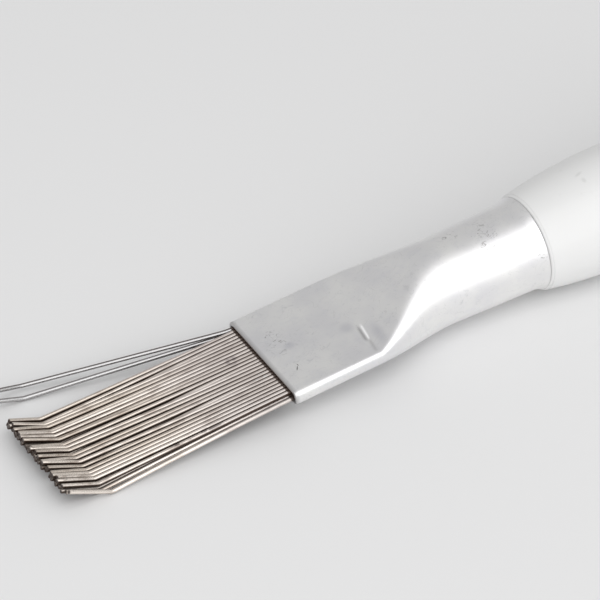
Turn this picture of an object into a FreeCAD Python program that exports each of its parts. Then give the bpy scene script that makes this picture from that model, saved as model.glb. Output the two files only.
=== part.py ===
import FreeCAD, Part
import math
import os
import Sketcher

from FreeCAD import Placement, Rotation, Vector

# Fin comb: two rows of bent steel wires, gripped in the flattened end of a
# round aluminium ferrule, on a plastic handle. Millimetres and degrees.
# The comb frame has its origin at the middle of the ferrule's flat mouth, +X
# along the flat towards the handle, +Y towards the side with the two sprung
# wires and +Z up. Every sub-part is then laid down as the comb rests on a table.

SIZES = {
    "wire_diameter": 1.0,
    "wire_gap": 0.03,          # between neighbours in a row, at the mouth
    "row_gap": 0.05,           # between the two rows
    "top_count": 25,
    "bottom_count": 26,
    "root_depth": 20.0,        # how far the wires reach into the flat
    "mouth_curve": 3.0,        # length over which a wire leaves its root's line
    "run_length": 47.9,        # from the mouth to the corner of the hook
    "hook_length": 8.7,        # from that corner to the cut end
    "hook_angle": 27.0,
    "hook_radius": 2.2,
    "hook_skew": 0.6,          # the far wires run on, and the near ones stop short
    "hook_spread": 2.0,        # the top row is bent up to this many degrees more
    "cut_unevenness": 0.3,     # of the wires' cut ends
    "edge_setback": 1.3,       # the near edge wire's hook is nearer the mouth
    "fan_far": 0.7,            # direction of the far regular wire, to the far side
    "fan_near": -2.7,          # direction of the near edge wire
    "sprung_top": 14.6,        # direction of the two wires sprung out of the rows
    "sprung_bottom": 11.0,
    "lean_top": 40.0,          # how far their hooks lean back over the rows
    "lean_bottom": 26.0,
    "wall": 0.8,               # of the ferrule
    "mouth_gap": 0.02,         # between the rows and the flat's inside
    "side_tuck": 0.12,         # end wires reach this far into the rounded sides
    "flat_length": 22.3,
    "flat_slope": 2.0,         # the flat droops from the tube's axis
    "tube_rise": 0.5,          # the tube's axis above the flat's middle, at the neck
    "neck_length": 22.5,
    "neck_softness": 0.44,     # 0 starts the neck at a fold, 1 starts it flat
    "tube_radius": 10.0,
    "tube_length": 20.5,
    "tube_flare": 0.45,
    "lip_length": 2.5,
    "lip_flare": 0.7,
    "crease_length": 3.8,      # of the small pinch in the flat's top
    "crease_width": 0.9,
    "crease_depth": 0.25,
    "crease_inset": 8.0,       # from the flat's near side
    "crease_turn": 8.0,
    "fit_gap": 0.05,           # between the tenon and the tube
    "tenon_length": 20.0,
    "tenon_chamfer": 1.0,
    "seat_gap": 0.1,           # between the ferrule's rim and the handle's shoulder
    "shoulder_step": 0.3,      # the handle's shoulder stands out over the rim
    "shoulder_round": 0.6,
    "swell_length": 24.5,      # from the rim to the grip
    "grip_step": 2.6,          # the grip stands out over the rim
    "handle_length": 96.0,     # from the ferrule's rim to the butt
    "butt_round": 6.0,
}

# Share of a row's fan that opens behind the named wires, counted from the far
# side. All other neighbours part by HELD_SHARE.
HELD_SHARE = 0.1
TOP_PARTED = {2: 1.2, 5: 3.6, 10: 0.9, 12: 0.9, 13: 2.6, 14: 0.9, 15: 1.2, 16: 1.5, 17: 2.2,
              18: 1.0, 19: 0.7, 20: 0.5}
BOTTOM_PARTED = {3: 1.5, 6: 3.0, 9: 1.0, 12: 2.0, 15: 1.5, 17: 1.5, 20: 2.0, 23: 1.5, 25: 3.0}

NECK_SECTIONS = 5
CIRCLE_SPLIT = 2.0             # half the angle of the arcs that stand in for the flat's lines

# Steps from wire to wire, in radians, of the waves that make a row slightly uneven.
CUT_STEP = 2.4
BEND_STEP = 1.7

doc = FreeCAD.newDocument("fin_comb")
sheet = doc.addObject("Spreadsheet::Sheet", "Sizes")
for row, (alias, value) in enumerate(SIZES.items(), start=1):
    sheet.set(f"A{row}", alias)
    sheet.set(f"B{row}", str(value))
    sheet.setAlias(f"B{row}", alias)
doc.recompute()


def size(alias):
    """A driving dimension, as the sheet holds it."""
    return float(sheet.get(alias))


def degrees(alias):
    """A driving angle, in radians."""
    return math.radians(size(alias))


# Sizes that follow from the driving ones, as expressions on the sheet.
PITCH = "(Sizes.wire_diameter + Sizes.wire_gap)"
ROW_PITCH = "(Sizes.wire_diameter + Sizes.row_gap)"
FLAT_INSIDE = f"({ROW_PITCH} / 2 + Sizes.wire_diameter / 2 + Sizes.mouth_gap)"
FLAT_OUTSIDE = f"({FLAT_INSIDE} + Sizes.wall)"
FLAT_REACH = f"({PITCH} * (Sizes.bottom_count - 1) / 2 - Sizes.side_tuck)"
TUBE_END = "(Sizes.tube_radius + Sizes.tube_flare)"
RIM_RADIUS = f"({TUBE_END} + Sizes.lip_flare)"
SHOULDER_RADIUS = f"({RIM_RADIUS} + Sizes.shoulder_step)"
GRIP_RADIUS = f"({RIM_RADIUS} + Sizes.grip_step)"
TENON_INSET = "(Sizes.wall + Sizes.fit_gap)"

# The same sizes as numbers, for the wires' routes and the resting pose.
pitch = size("wire_diameter") + size("wire_gap")
row_pitch = size("wire_diameter") + size("row_gap")
far_place = pitch * (size("bottom_count") - 1) / 2
flat_inside = row_pitch / 2 + size("wire_diameter") / 2 + size("mouth_gap")
flat_outside = flat_inside + size("wall")
tube_end = size("tube_radius") + size("tube_flare")
rim_radius = tube_end + size("lip_flare")
shoulder_radius = rim_radius + size("shoulder_step")
grip_radius = rim_radius + size("grip_step")
swell_run = size("swell_length") - size("seat_gap")
swell_rise = grip_radius - shoulder_radius
swell_radius = (swell_run ** 2 + swell_rise ** 2) / (2 * swell_rise)
tube_run = size("neck_length") + size("tube_length") + size("lip_length")
slope = degrees("flat_slope")


def origin_plane(body, role):
    """One of the body's own origin planes."""
    for feature in body.Origin.OriginFeatures:
        if feature.Role == role:
            return feature
    raise RuntimeError(f"{body.Name} has no {role}")


def add_sketch(body, name, role):
    """A sketch on one of the body's own origin planes."""
    sketch = body.newObject("Sketcher::SketchObject", name)
    sketch.AttachmentSupport = [(origin_plane(body, role), "")]
    sketch.MapMode = "FlatFace"
    return sketch


def bind(sketch, constraint, expression):
    """Add a dimension to the sketch and tie it to the sheet."""
    index = sketch.addConstraint(constraint)
    sketch.setExpression(f"Constraints[{index}]", expression)


def number(expression):
    """The present value of an expression on the sheet."""
    return float(sheet.evalExpression(expression))


def stadium(sketch, reach, radius):
    """Two level lines, each `reach` to both sides, joined by half circles of `radius`."""
    c = number(reach)
    r = number(radius)
    top = sketch.addGeometry(Part.LineSegment(Vector(-c, r, 0), Vector(c, r, 0)))
    near = sketch.addGeometry(
        Part.ArcOfCircle(Part.Circle(Vector(c, 0, 0), Vector(0, 0, 1), r), -math.pi / 2, math.pi / 2))
    base = sketch.addGeometry(Part.LineSegment(Vector(c, -r, 0), Vector(-c, -r, 0)))
    far = sketch.addGeometry(
        Part.ArcOfCircle(Part.Circle(Vector(-c, 0, 0), Vector(0, 0, 1), r), math.pi / 2, 1.5 * math.pi))
    sketch.addConstraint([
        Sketcher.Constraint("Tangent", top, 2, near, 2),
        Sketcher.Constraint("Tangent", near, 1, base, 1),
        Sketcher.Constraint("Tangent", base, 2, far, 2),
        Sketcher.Constraint("Tangent", far, 1, top, 1),
        Sketcher.Constraint("Equal", near, far),
        Sketcher.Constraint("PointOnObject", near, 3, -1),
        Sketcher.Constraint("Symmetric", near, 3, far, 3, -1, 1),
    ])
    bind(sketch, Sketcher.Constraint("Radius", near, r), radius)
    bind(sketch, Sketcher.Constraint("DistanceX", -1, 1, near, 3, c), reach)


def split_circle(sketch, radius):
    """A circle in four arcs that follow on from the stadium's lines and half circles."""
    short = math.radians(CIRCLE_SPLIT)
    quarter = math.pi / 2
    r = number(radius)
    starts = [quarter - short, quarter + short, -quarter - short, -quarter + short]
    ends = [quarter + short, 3 * quarter - short, -quarter + short, quarter - short]
    arcs = []
    for start, end in zip(starts, ends):
        circle = Part.Circle(Vector(0, 0, 0), Vector(0, 0, 1), r)
        arcs.append(sketch.addGeometry(Part.ArcOfCircle(circle, start, end)))
    for index, arc in enumerate(arcs):
        following = arcs[(index + 1) % 4]
        sketch.addConstraint(Sketcher.Constraint("Coincident", arc, 2, following, 1))
        sketch.addConstraint(Sketcher.Constraint("Coincident", arc, 3, -1, 1))
    sketch.addConstraint(Sketcher.Constraint("Symmetric", arcs[0], 1, arcs[0], 2, -2))
    sketch.addConstraint(Sketcher.Constraint("Symmetric", arcs[2], 1, arcs[2], 2, -2))
    bind(sketch, Sketcher.Constraint("Radius", arcs[1], r), radius)
    half_top = f"{radius} * sin({CIRCLE_SPLIT}deg)"
    bind(sketch, Sketcher.Constraint("DistanceX", -1, 1, arcs[0], 1, r * math.sin(short)), half_top)
    bind(sketch, Sketcher.Constraint("DistanceX", -1, 1, arcs[2], 2, r * math.sin(short)), half_top)


def place_across(sketch, along, height, turn):
    """Move a sketch on the YZ plane along X and up Z, and turn it about Y."""
    sketch.AttachmentOffset = Placement(Vector(0, 0, 1), Rotation(Vector(1, 0, 0), 1))
    sketch.setExpression(".AttachmentOffset.Base.z", along)
    sketch.setExpression(".AttachmentOffset.Base.y", height)
    sketch.setExpression(".AttachmentOffset.Rotation.Angle", turn)


def place_on_tube(sketch):
    """Move a sketch on the XZ plane to the neck's end, with its X along the tube."""
    sketch.AttachmentOffset = Placement(Vector(1, 1, 0), Rotation(Vector(0, 0, 1), -1))
    sketch.setExpression(".AttachmentOffset.Base.x", neck_place(1.0)[0])
    sketch.setExpression(".AttachmentOffset.Base.y", neck_place(1.0)[1])
    sketch.setExpression(".AttachmentOffset.Rotation.Angle", "-Sizes.flat_slope * 1deg")


def neck_share(part):
    """How round the neck is at a part of its length, from 0 at the flat to 1 at the tube."""
    rise = f"sin({part * 90}deg)"
    return f"((1 - Sizes.neck_softness) * {rise} + Sizes.neck_softness * {rise} * {rise})"


def neck_place(part):
    """Distance along X and height of the neck's middle, at a part of its length."""
    along = f"Sizes.flat_length + Sizes.neck_length * {part} * cos(Sizes.flat_slope * 1deg)"
    height = (f"Sizes.tube_rise * {neck_share(part)}"
              f" - Sizes.neck_length * {part} * sin(Sizes.flat_slope * 1deg)")
    return along, height


def neck_sections(body, label, inset):
    """Sections from the flat to the tube. The girth stays even as the flat part narrows."""
    sections = []
    for index in range(NECK_SECTIONS + 1):
        part = index / NECK_SECTIONS
        share = neck_share(part)
        sketch = add_sketch(body, f"{label}_section_{index}", "YZ_Plane")
        along, height = neck_place(part)
        turn = "Sizes.flat_slope * 1deg" if index else "0deg"
        place_across(sketch, along, height, turn)
        if index < NECK_SECTIONS:
            radius = f"({FLAT_OUTSIDE} + (Sizes.tube_radius - {FLAT_OUTSIDE}) * {share} - {inset})"
            stadium(sketch, f"({FLAT_REACH} * (1 - {share}))", radius)
        else:
            split_circle(sketch, f"(Sizes.tube_radius - {inset})")
        sections.append(sketch)
    return sections


def tube_profile(sketch, inset):
    """Half the tube from its axis out: a slight flare, then the curled lip."""
    start = number(f"Sizes.tube_radius - {inset}")
    mid = number(f"{TUBE_END} - {inset}")
    rim = number(f"{RIM_RADIUS} - {inset}")
    bend = size("tube_length")
    end = bend + size("lip_length")
    back = sketch.addGeometry(Part.LineSegment(Vector(0, 0, 0), Vector(0, start, 0)))
    side = sketch.addGeometry(Part.LineSegment(Vector(0, start, 0), Vector(bend, mid, 0)))
    rise = math.atan2(mid - start, bend)
    lip = add_tangent_arc(sketch, Vector(bend, mid, 0), rise, Vector(end, rim, 0))
    front = sketch.addGeometry(Part.LineSegment(Vector(end, rim, 0), Vector(end, 0, 0)))
    axis = sketch.addGeometry(Part.LineSegment(Vector(end, 0, 0), Vector(0, 0, 0)))
    sketch.addConstraint([
        Sketcher.Constraint("Coincident", back, 1, -1, 1),
        Sketcher.Constraint("Vertical", back),
        Sketcher.Constraint("Coincident", back, 2, side, 1),
        Sketcher.Constraint("Tangent", side, 2, lip, 1),
        Sketcher.Constraint("Coincident", lip, 2, front, 1),
        Sketcher.Constraint("Vertical", front),
        Sketcher.Constraint("Coincident", front, 2, axis, 1),
        Sketcher.Constraint("PointOnObject", front, 2, -1),
        Sketcher.Constraint("Coincident", axis, 2, back, 1),
    ])
    bind(sketch, Sketcher.Constraint("DistanceY", back, 1, back, 2, start), f"Sizes.tube_radius - {inset}")
    bind(sketch, Sketcher.Constraint("DistanceX", -1, 1, side, 2, bend), "Sizes.tube_length")
    bind(sketch, Sketcher.Constraint("DistanceY", -1, 1, side, 2, mid), f"{TUBE_END} - {inset}")
    bind(sketch, Sketcher.Constraint("DistanceX", -1, 1, lip, 2, end), "Sizes.tube_length + Sizes.lip_length")
    bind(sketch, Sketcher.Constraint("DistanceY", -1, 1, lip, 2, rim), f"{RIM_RADIUS} - {inset}")


def add_tangent_arc(sketch, start, direction, end):
    """An arc that leaves `start` at an angle and curls up to `end`, drawn anticlockwise."""
    chord = end - start
    turn = math.atan2(chord.y, chord.x) - direction
    radius = chord.Length / 2 / math.sin(turn)
    centre = start + Vector(-math.sin(direction), math.cos(direction), 0) * radius
    first = direction - math.pi / 2
    circle = Part.Circle(centre, Vector(0, 0, 1), radius)
    return sketch.addGeometry(Part.ArcOfCircle(circle, first, first + 2 * turn))


def add_feature(body, kind, name, profile, **properties):
    """A feature on one profile, with its plain properties."""
    feature = body.newObject(f"PartDesign::{kind}", name)
    feature.Profile = profile
    for key, setting in properties.items():
        setattr(feature, key, setting)
    return feature


def make_ferrule():
    """A tube whose front is pressed flat round the wires, with a curled lip at its rear rim."""
    body = doc.addObject("PartDesign::Body", "ferrule")
    body.Label = "ferrule"
    whole = "0"
    inside = "Sizes.wall"

    flat = add_sketch(body, "flat_outline", "YZ_Plane")
    stadium(flat, FLAT_REACH, FLAT_OUTSIDE)
    flat_pad = add_feature(body, "Pad", "flat_form", flat)
    flat_pad.setExpression("Length", "Sizes.flat_length")
    outer = neck_sections(body, "neck", whole)
    add_feature(body, "AdditiveLoft", "neck_form", outer[0], Sections=outer[1:], Ruled=False)
    tube = add_sketch(body, "tube_outline", "XZ_Plane")
    place_on_tube(tube)
    tube_profile(tube, whole)
    add_feature(body, "Revolution", "tube_form", tube, ReferenceAxis=(tube, ["H_Axis"]), Angle=360)
    doc.recompute()
    full = body.Shape.Volume

    crease = body.newObject("PartDesign::SubtractiveEllipsoid", "crease")
    half_width = f"{FLAT_REACH} + {FLAT_OUTSIDE}"
    crease.Placement = Placement(Vector(1, 1, 1), Rotation(Vector(0, 0, 1), 1))
    crease.setExpression("Radius1", "Sizes.crease_depth")
    crease.setExpression("Radius2", "Sizes.crease_width / 2")
    crease.setExpression("Radius3", "Sizes.crease_length / 2")
    crease.setExpression(".Placement.Base.x", "Sizes.flat_length")
    crease.setExpression(".Placement.Base.y", f"Sizes.crease_inset - ({half_width})")
    crease.setExpression(".Placement.Base.z", FLAT_OUTSIDE)
    crease.setExpression(".Placement.Rotation.Angle", "Sizes.crease_turn * 1deg")

    slot = add_sketch(body, "flat_inside", "YZ_Plane")
    stadium(slot, FLAT_REACH, FLAT_INSIDE)
    slot_cut = add_feature(body, "Pocket", "flat_hollow", slot, Reversed=True)
    slot_cut.setExpression("Length", "Sizes.flat_length")
    inner = neck_sections(body, "neck_inside", inside)
    add_feature(body, "SubtractiveLoft", "neck_hollow", inner[0], Sections=inner[1:], Ruled=False)
    bore = add_sketch(body, "tube_inside", "XZ_Plane")
    place_on_tube(bore)
    tube_profile(bore, inside)
    add_feature(body, "Groove", "tube_hollow", bore, ReferenceAxis=(bore, ["H_Axis"]), Angle=360)
    doc.recompute()
    if body.Shape.Volume > full / 2:
        raise RuntimeError("the ferrule's inside is not cut")
    return body


def circle_edges(shape, along, radius):
    """Names of the round edges about X at a distance along it and of a radius."""
    names = []
    for index, edge in enumerate(shape.Edges, start=1):
        curve = edge.Curve
        if not isinstance(curve, Part.Circle):
            continue
        if abs(curve.Center.x - along) < 1e-3 and abs(curve.Radius - radius) < 1e-3:
            names.append(f"Edge{index}")
    return names


def make_handle():
    """A turned form along X from the ferrule's rim: tenon, shoulder, swell, grip and butt."""
    body = doc.addObject("PartDesign::Body", "handle")
    body.Label = "handle"
    tenon_radius = number(f"Sizes.tube_radius - {TENON_INSET}")
    lip_start = number(f"{TUBE_END} - {TENON_INSET}")
    neck_radius = number(f"{RIM_RADIUS} - {TENON_INSET}")
    tenon = size("tenon_length")
    lip = size("lip_length")
    seat = size("seat_gap")
    swell = size("swell_length")
    end = size("handle_length")
    start_turn = math.asin(swell_run / swell_radius)

    sketch = add_sketch(body, "handle_profile", "XZ_Plane")
    nose = sketch.addGeometry(Part.LineSegment(Vector(-tenon, 0, 0), Vector(-tenon, tenon_radius, 0)))
    side = sketch.addGeometry(
        Part.LineSegment(Vector(-tenon, tenon_radius, 0), Vector(-lip, lip_start, 0)))
    rise = math.atan2(lip_start - tenon_radius, tenon - lip)
    curl = add_tangent_arc(sketch, Vector(-lip, lip_start, 0), rise, Vector(0, neck_radius, 0))
    neck = sketch.addGeometry(Part.LineSegment(Vector(0, neck_radius, 0), Vector(seat, neck_radius, 0)))
    face = sketch.addGeometry(
        Part.LineSegment(Vector(seat, neck_radius, 0), Vector(seat, shoulder_radius, 0)))
    bulge = sketch.addGeometry(Part.ArcOfCircle(
        Part.Circle(Vector(swell, grip_radius - swell_radius, 0), Vector(0, 0, 1), swell_radius),
        math.pi / 2, math.pi / 2 + start_turn))
    hold = sketch.addGeometry(
        Part.LineSegment(Vector(swell, grip_radius, 0), Vector(end, grip_radius, 0)))
    butt = sketch.addGeometry(Part.LineSegment(Vector(end, grip_radius, 0), Vector(end, 0, 0)))
    axis = sketch.addGeometry(Part.LineSegment(Vector(end, 0, 0), Vector(-tenon, 0, 0)))
    sketch.addConstraint([
        Sketcher.Constraint("Coincident", nose, 2, side, 1),
        Sketcher.Constraint("Tangent", side, 2, curl, 1),
        Sketcher.Constraint("Coincident", curl, 2, neck, 1),
        Sketcher.Constraint("Coincident", neck, 2, face, 1),
        Sketcher.Constraint("Coincident", face, 2, bulge, 2),
        Sketcher.Constraint("Tangent", bulge, 1, hold, 1),
        Sketcher.Constraint("Coincident", hold, 2, butt, 1),
        Sketcher.Constraint("Coincident", butt, 2, axis, 1),
        Sketcher.Constraint("Coincident", axis, 2, nose, 1),
        Sketcher.Constraint("Vertical", nose),
        Sketcher.Constraint("Horizontal", neck),
        Sketcher.Constraint("Vertical", face),
        Sketcher.Constraint("Horizontal", hold),
        Sketcher.Constraint("Vertical", butt),
        Sketcher.Constraint("PointOnObject", axis, 1, -1),
        Sketcher.Constraint("PointOnObject", axis, 2, -1),
        Sketcher.Constraint("PointOnObject", curl, 2, -2),
    ])
    bind(sketch, Sketcher.Constraint("DistanceX", nose, 1, -1, 1, tenon), "Sizes.tenon_length")
    bind(sketch, Sketcher.Constraint("DistanceX", side, 2, -1, 1, lip), "Sizes.lip_length")
    bind(sketch, Sketcher.Constraint("DistanceX", -1, 1, neck, 2, seat), "Sizes.seat_gap")
    bind(sketch, Sketcher.Constraint("DistanceX", -1, 1, hold, 1, swell), "Sizes.swell_length")
    bind(sketch, Sketcher.Constraint("DistanceX", -1, 1, hold, 2, end), "Sizes.handle_length")
    bind(sketch, Sketcher.Constraint("DistanceY", -1, 1, face, 2, shoulder_radius), SHOULDER_RADIUS)
    bind(sketch, Sketcher.Constraint("DistanceY", -1, 1, hold, 1, grip_radius), GRIP_RADIUS)
    bind(sketch, Sketcher.Constraint("DistanceY", nose, 1, nose, 2, tenon_radius),
         f"Sizes.tube_radius - {TENON_INSET}")
    bind(sketch, Sketcher.Constraint("DistanceY", -1, 1, side, 2, lip_start),
         f"{TUBE_END} - {TENON_INSET}")
    bind(sketch, Sketcher.Constraint("DistanceY", -1, 1, neck, 1, neck_radius),
         f"{RIM_RADIUS} - {TENON_INSET}")
    turned = add_feature(body, "Revolution", "turned_form", sketch,
                         ReferenceAxis=(sketch, ["H_Axis"]), Angle=360)
    doc.recompute()

    nose_edge = circle_edges(turned.Shape, -tenon, tenon_radius)
    chamfer = body.newObject("PartDesign::Chamfer", "tenon_lead")
    chamfer.Base = (turned, nose_edge)
    chamfer.setExpression("Size", "Sizes.tenon_chamfer")
    doc.recompute()
    shoulder_edge = circle_edges(chamfer.Shape, seat, shoulder_radius)
    softened = body.newObject("PartDesign::Fillet", "shoulder_edge")
    softened.Base = (chamfer, shoulder_edge)
    softened.setExpression("Radius", "Sizes.shoulder_round")
    doc.recompute()
    butt_edge = circle_edges(softened.Shape, end, grip_radius)
    rounded = body.newObject("PartDesign::Fillet", "butt_edge")
    rounded.Base = (softened, butt_edge)
    rounded.setExpression("Radius", "Sizes.butt_round")
    doc.recompute()
    return body


def wire_route(place, height, fan, lean, run, hook_angle, hook):
    """Root, gentle curve at the mouth, straight run, rounded hook and cut end, as one path."""
    half_curve = size("mouth_curve") / 2
    pivot = Vector(-half_curve, place, height)
    run_way = Vector(-math.cos(fan), math.sin(fan), 0)
    near_way = Vector(-math.sin(fan), -math.cos(fan), 0)
    rise_way = Vector(0, 0, math.cos(lean)) + near_way * math.sin(lean)
    hook_way = run_way * math.cos(hook_angle) + rise_way * math.sin(hook_angle)
    corner = pivot + run_way * (run - half_curve)
    setback = size("hook_radius") * math.tan(hook_angle / 2)
    inward = (hook_way - run_way).normalize()
    sagitta = size("hook_radius") * (1 / math.cos(hook_angle / 2) - 1)

    root = Vector(size("root_depth"), place, height)
    mouth = Vector(0, place, height)
    run_start = pivot + run_way * half_curve
    hook_start = corner - run_way * setback
    hook_middle = corner + inward * sagitta
    hook_end = corner + hook_way * setback
    cut_end = corner + hook_way * hook
    curve = Part.BezierCurve()
    curve.setPoles([mouth, pivot, run_start])
    return Part.Wire([
        Part.LineSegment(root, mouth).toShape(),
        curve.toShape(),
        Part.LineSegment(run_start, hook_start).toShape(),
        Part.Arc(hook_start, hook_middle, hook_end).toShape(),
        Part.LineSegment(hook_end, cut_end).toShape(),
    ])


def fan_directions(count, parted):
    """Directions of wires 2 to `count`, opening from the far side to the near one."""
    shares = [parted.get(index, HELD_SHARE) for index in range(2, count)]
    directions = {}
    opened = 0.0
    for index in range(2, count + 1):
        part = opened / sum(shares)
        directions[index] = degrees("fan_far") + (degrees("fan_near") - degrees("fan_far")) * part
        if index < count:
            opened += shares[index - 2]
    return directions


def make_wire(name, place, height, fan, lean, run, hook_angle, hook):
    """One wire, swept along its route."""
    route = doc.addObject("Part::Feature", f"{name}_route")
    route.Shape = wire_route(place, height, fan, lean, run, hook_angle, hook)
    section = doc.addObject("Part::Circle", f"{name}_section")
    section.setExpression("Radius", "Sizes.wire_diameter / 2")
    section.Placement = Placement(Vector(size("root_depth"), place, height),
                                  Rotation(Vector(0, 1, 0), -90))
    wire = doc.addObject("Part::Sweep", name)
    wire.Label = name
    wire.Sections = [section]
    wire.Spine = (route, [f"Edge{index}" for index in range(1, 6)])
    wire.Solid = True
    return wire


def make_row(label, count, height, parted, sprung, lean, nested, spread):
    """A row of wires from the far side, the first sprung out of it."""
    directions = fan_directions(count, parted)
    wires = []
    for index in range(1, count + 1):
        place = far_place - pitch * (index - 1)
        across = place / far_place
        run = size("run_length") + size("hook_skew") * across - nested
        hook = size("hook_length") - size("hook_skew") * across
        hook += size("cut_unevenness") * math.sin(CUT_STEP * index + count)
        extra = spread * (1 + math.sin(BEND_STEP * index)) / 2
        fan = directions.get(index, sprung)
        if place < -far_place + pitch / 2:
            run -= size("edge_setback")
            hook += size("edge_setback")
        wires.append(make_wire(f"wire_{label}_{index:02d}", place, height, fan,
                               lean if index == 1 else 0.0, run, degrees("hook_angle") + extra, hook))
    return wires


def make_wires():
    """The top row hooks inside the bottom row, so its corners lie nearer the mouth."""
    nested = row_pitch * math.tan(degrees("hook_angle") / 2)
    bottom = make_row("bottom", int(size("bottom_count")), -row_pitch / 2, BOTTOM_PARTED,
                      degrees("sprung_bottom"), degrees("lean_bottom"), 0.0, 0.0)
    top = make_row("top", int(size("top_count")), row_pitch / 2, TOP_PARTED,
                   degrees("sprung_top"), degrees("lean_top"), nested, degrees("hook_spread"))
    return top + bottom


def rim_centre():
    """Middle of the ferrule's rear rim, in the comb frame."""
    return Vector(size("flat_length") + tube_run * math.cos(slope), 0,
                  size("tube_rise") - tube_run * math.sin(slope))


def resting_tilt():
    """Angle of the line that touches the bottom row's hooks and the handle's swell from below."""
    hook_setback = size("hook_radius") * math.tan(degrees("hook_angle") / 2)
    hook_centre = Vector(-(size("run_length") - hook_setback), 0,
                         -row_pitch / 2 + size("hook_radius"))
    hook_reach = size("hook_radius") + size("wire_diameter") / 2
    swell_height = swell_radius - grip_radius
    swell_centre = rim_centre() + Vector(
        size("swell_length") * math.cos(slope) + swell_height * math.sin(slope), 0,
        -size("swell_length") * math.sin(slope) + swell_height * math.cos(slope))
    between = swell_centre - hook_centre
    line = math.atan2(between.z, between.x)
    line -= math.asin((swell_radius - hook_reach) / between.Length)
    drop = hook_reach - (-math.sin(line) * hook_centre.x + math.cos(line) * hook_centre.z)
    return line, drop


def resting_place():
    """Placement of the comb frame when the comb lies on a table at Z = 0."""
    line, drop = resting_tilt()
    level = Placement(Vector(0, 0, drop), Rotation(Vector(0, 1, 0), math.degrees(line)))
    # The hooks' line is skewed, so the comb rolls about the tube until both ends touch.
    roll = math.degrees(math.asin(size("hook_skew") * math.sin(-line) / far_place))
    axis = Vector(math.cos(slope), 0, -math.sin(slope))
    turn = Rotation(axis, roll)
    centre = rim_centre()
    return level * Placement(centre - turn.multVec(centre), turn)


def lay_down(parts, handle):
    """Set every Placement, with the origin under the middle of the whole comb."""
    rest = resting_place()
    on_tube = Placement(rim_centre(), Rotation(Vector(0, 1, 0), size("flat_slope")))
    places = {part.Name: rest * on_tube if part is handle else rest for part in parts}
    box = FreeCAD.BoundBox()
    for part in parts:
        part.Placement = places[part.Name]
    doc.recompute()
    for part in parts:
        box.add(part.Shape.optimalBoundingBox(False, False))
    middle = Placement(Vector(-box.Center.x, -box.Center.y, 0), Rotation())
    for part in parts:
        part.Placement = middle * places[part.Name]
    doc.recompute()


def export(parts):
    """Check every object, then write one file for each sub-part."""
    for item in doc.Objects:
        if {"Invalid", "Error"} & set(item.State):
            raise RuntimeError(f"{item.Name} failed: {item.State}")
    for part in parts:
        if part.Shape.isNull() or not part.Shape.isValid() or not part.Shape.Solids:
            raise RuntimeError(f"{part.Label} has no valid solid")
    os.makedirs("parts", exist_ok=True)
    for part in parts:
        part.Shape.exportStep(f"parts/{part.Label}.step")


ferrule = make_ferrule()
handle = make_handle()
wires = make_wires()
doc.recompute()
sub_parts = [ferrule, handle] + wires
lay_down(sub_parts, handle)
export(sub_parts)
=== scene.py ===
import math

import bpy
import numpy as np
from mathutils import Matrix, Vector


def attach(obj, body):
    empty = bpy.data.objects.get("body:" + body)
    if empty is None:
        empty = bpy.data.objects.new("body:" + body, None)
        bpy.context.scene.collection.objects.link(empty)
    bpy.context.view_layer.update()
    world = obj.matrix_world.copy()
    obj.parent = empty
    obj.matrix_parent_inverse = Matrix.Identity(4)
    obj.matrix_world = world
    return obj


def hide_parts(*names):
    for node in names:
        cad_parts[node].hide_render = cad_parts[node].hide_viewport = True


# Fin comb: hooked steel wires in two rows, a ferrule that goes from flat to round,
# and a turned plastic handle. Shapes are worked out in millimetres in the comb's own
# frame: origin at the middle of the flat's mouth, X along the flat to the handle,
# Y to the side with the two sprung wires, Z up. Meshes are in metres in the row frame.

MM = 0.001

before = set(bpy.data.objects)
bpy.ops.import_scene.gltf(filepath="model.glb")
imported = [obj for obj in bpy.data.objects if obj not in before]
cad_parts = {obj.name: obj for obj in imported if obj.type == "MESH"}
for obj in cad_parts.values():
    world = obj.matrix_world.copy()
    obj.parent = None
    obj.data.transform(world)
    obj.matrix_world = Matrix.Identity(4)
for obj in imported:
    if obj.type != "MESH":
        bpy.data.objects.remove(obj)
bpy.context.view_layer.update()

# The comb's three axes and its origin as it rests on the table.
COMB_AXES = np.array([
    [0.9942492, -0.0001742, 0.1070913],
    [-0.0003610, 0.9999875, 0.0049776],
    [-0.1070909, -0.0049876, 0.9942367],
])
COMB_ORIGIN = np.array([-53.8215, -4.5977, 6.1078])

WIRE_RADIUS = 0.5
WIRE_PITCH = 1.03
ROW_PITCH = 1.05
TOP_COUNT = 25
BOTTOM_COUNT = 26
ROOT_DEPTH = 20.0
MOUTH_CURVE = 3.0
RUN_LENGTH = 47.9
HOOK_LENGTH = 8.7
HOOK_ANGLE = math.radians(27.0)
HOOK_RADIUS = 2.2
HOOK_SKEW = 0.6
HOOK_SPREAD = math.radians(2.0)
CUT_UNEVENNESS = 0.3
EDGE_SETBACK = 1.9
SPRUNG_TOP = math.radians(14.6)
SPRUNG_BOTTOM = math.radians(11.0)
LEAN_TOP = math.radians(40.0)
LEAN_BOTTOM = math.radians(26.0)

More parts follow.
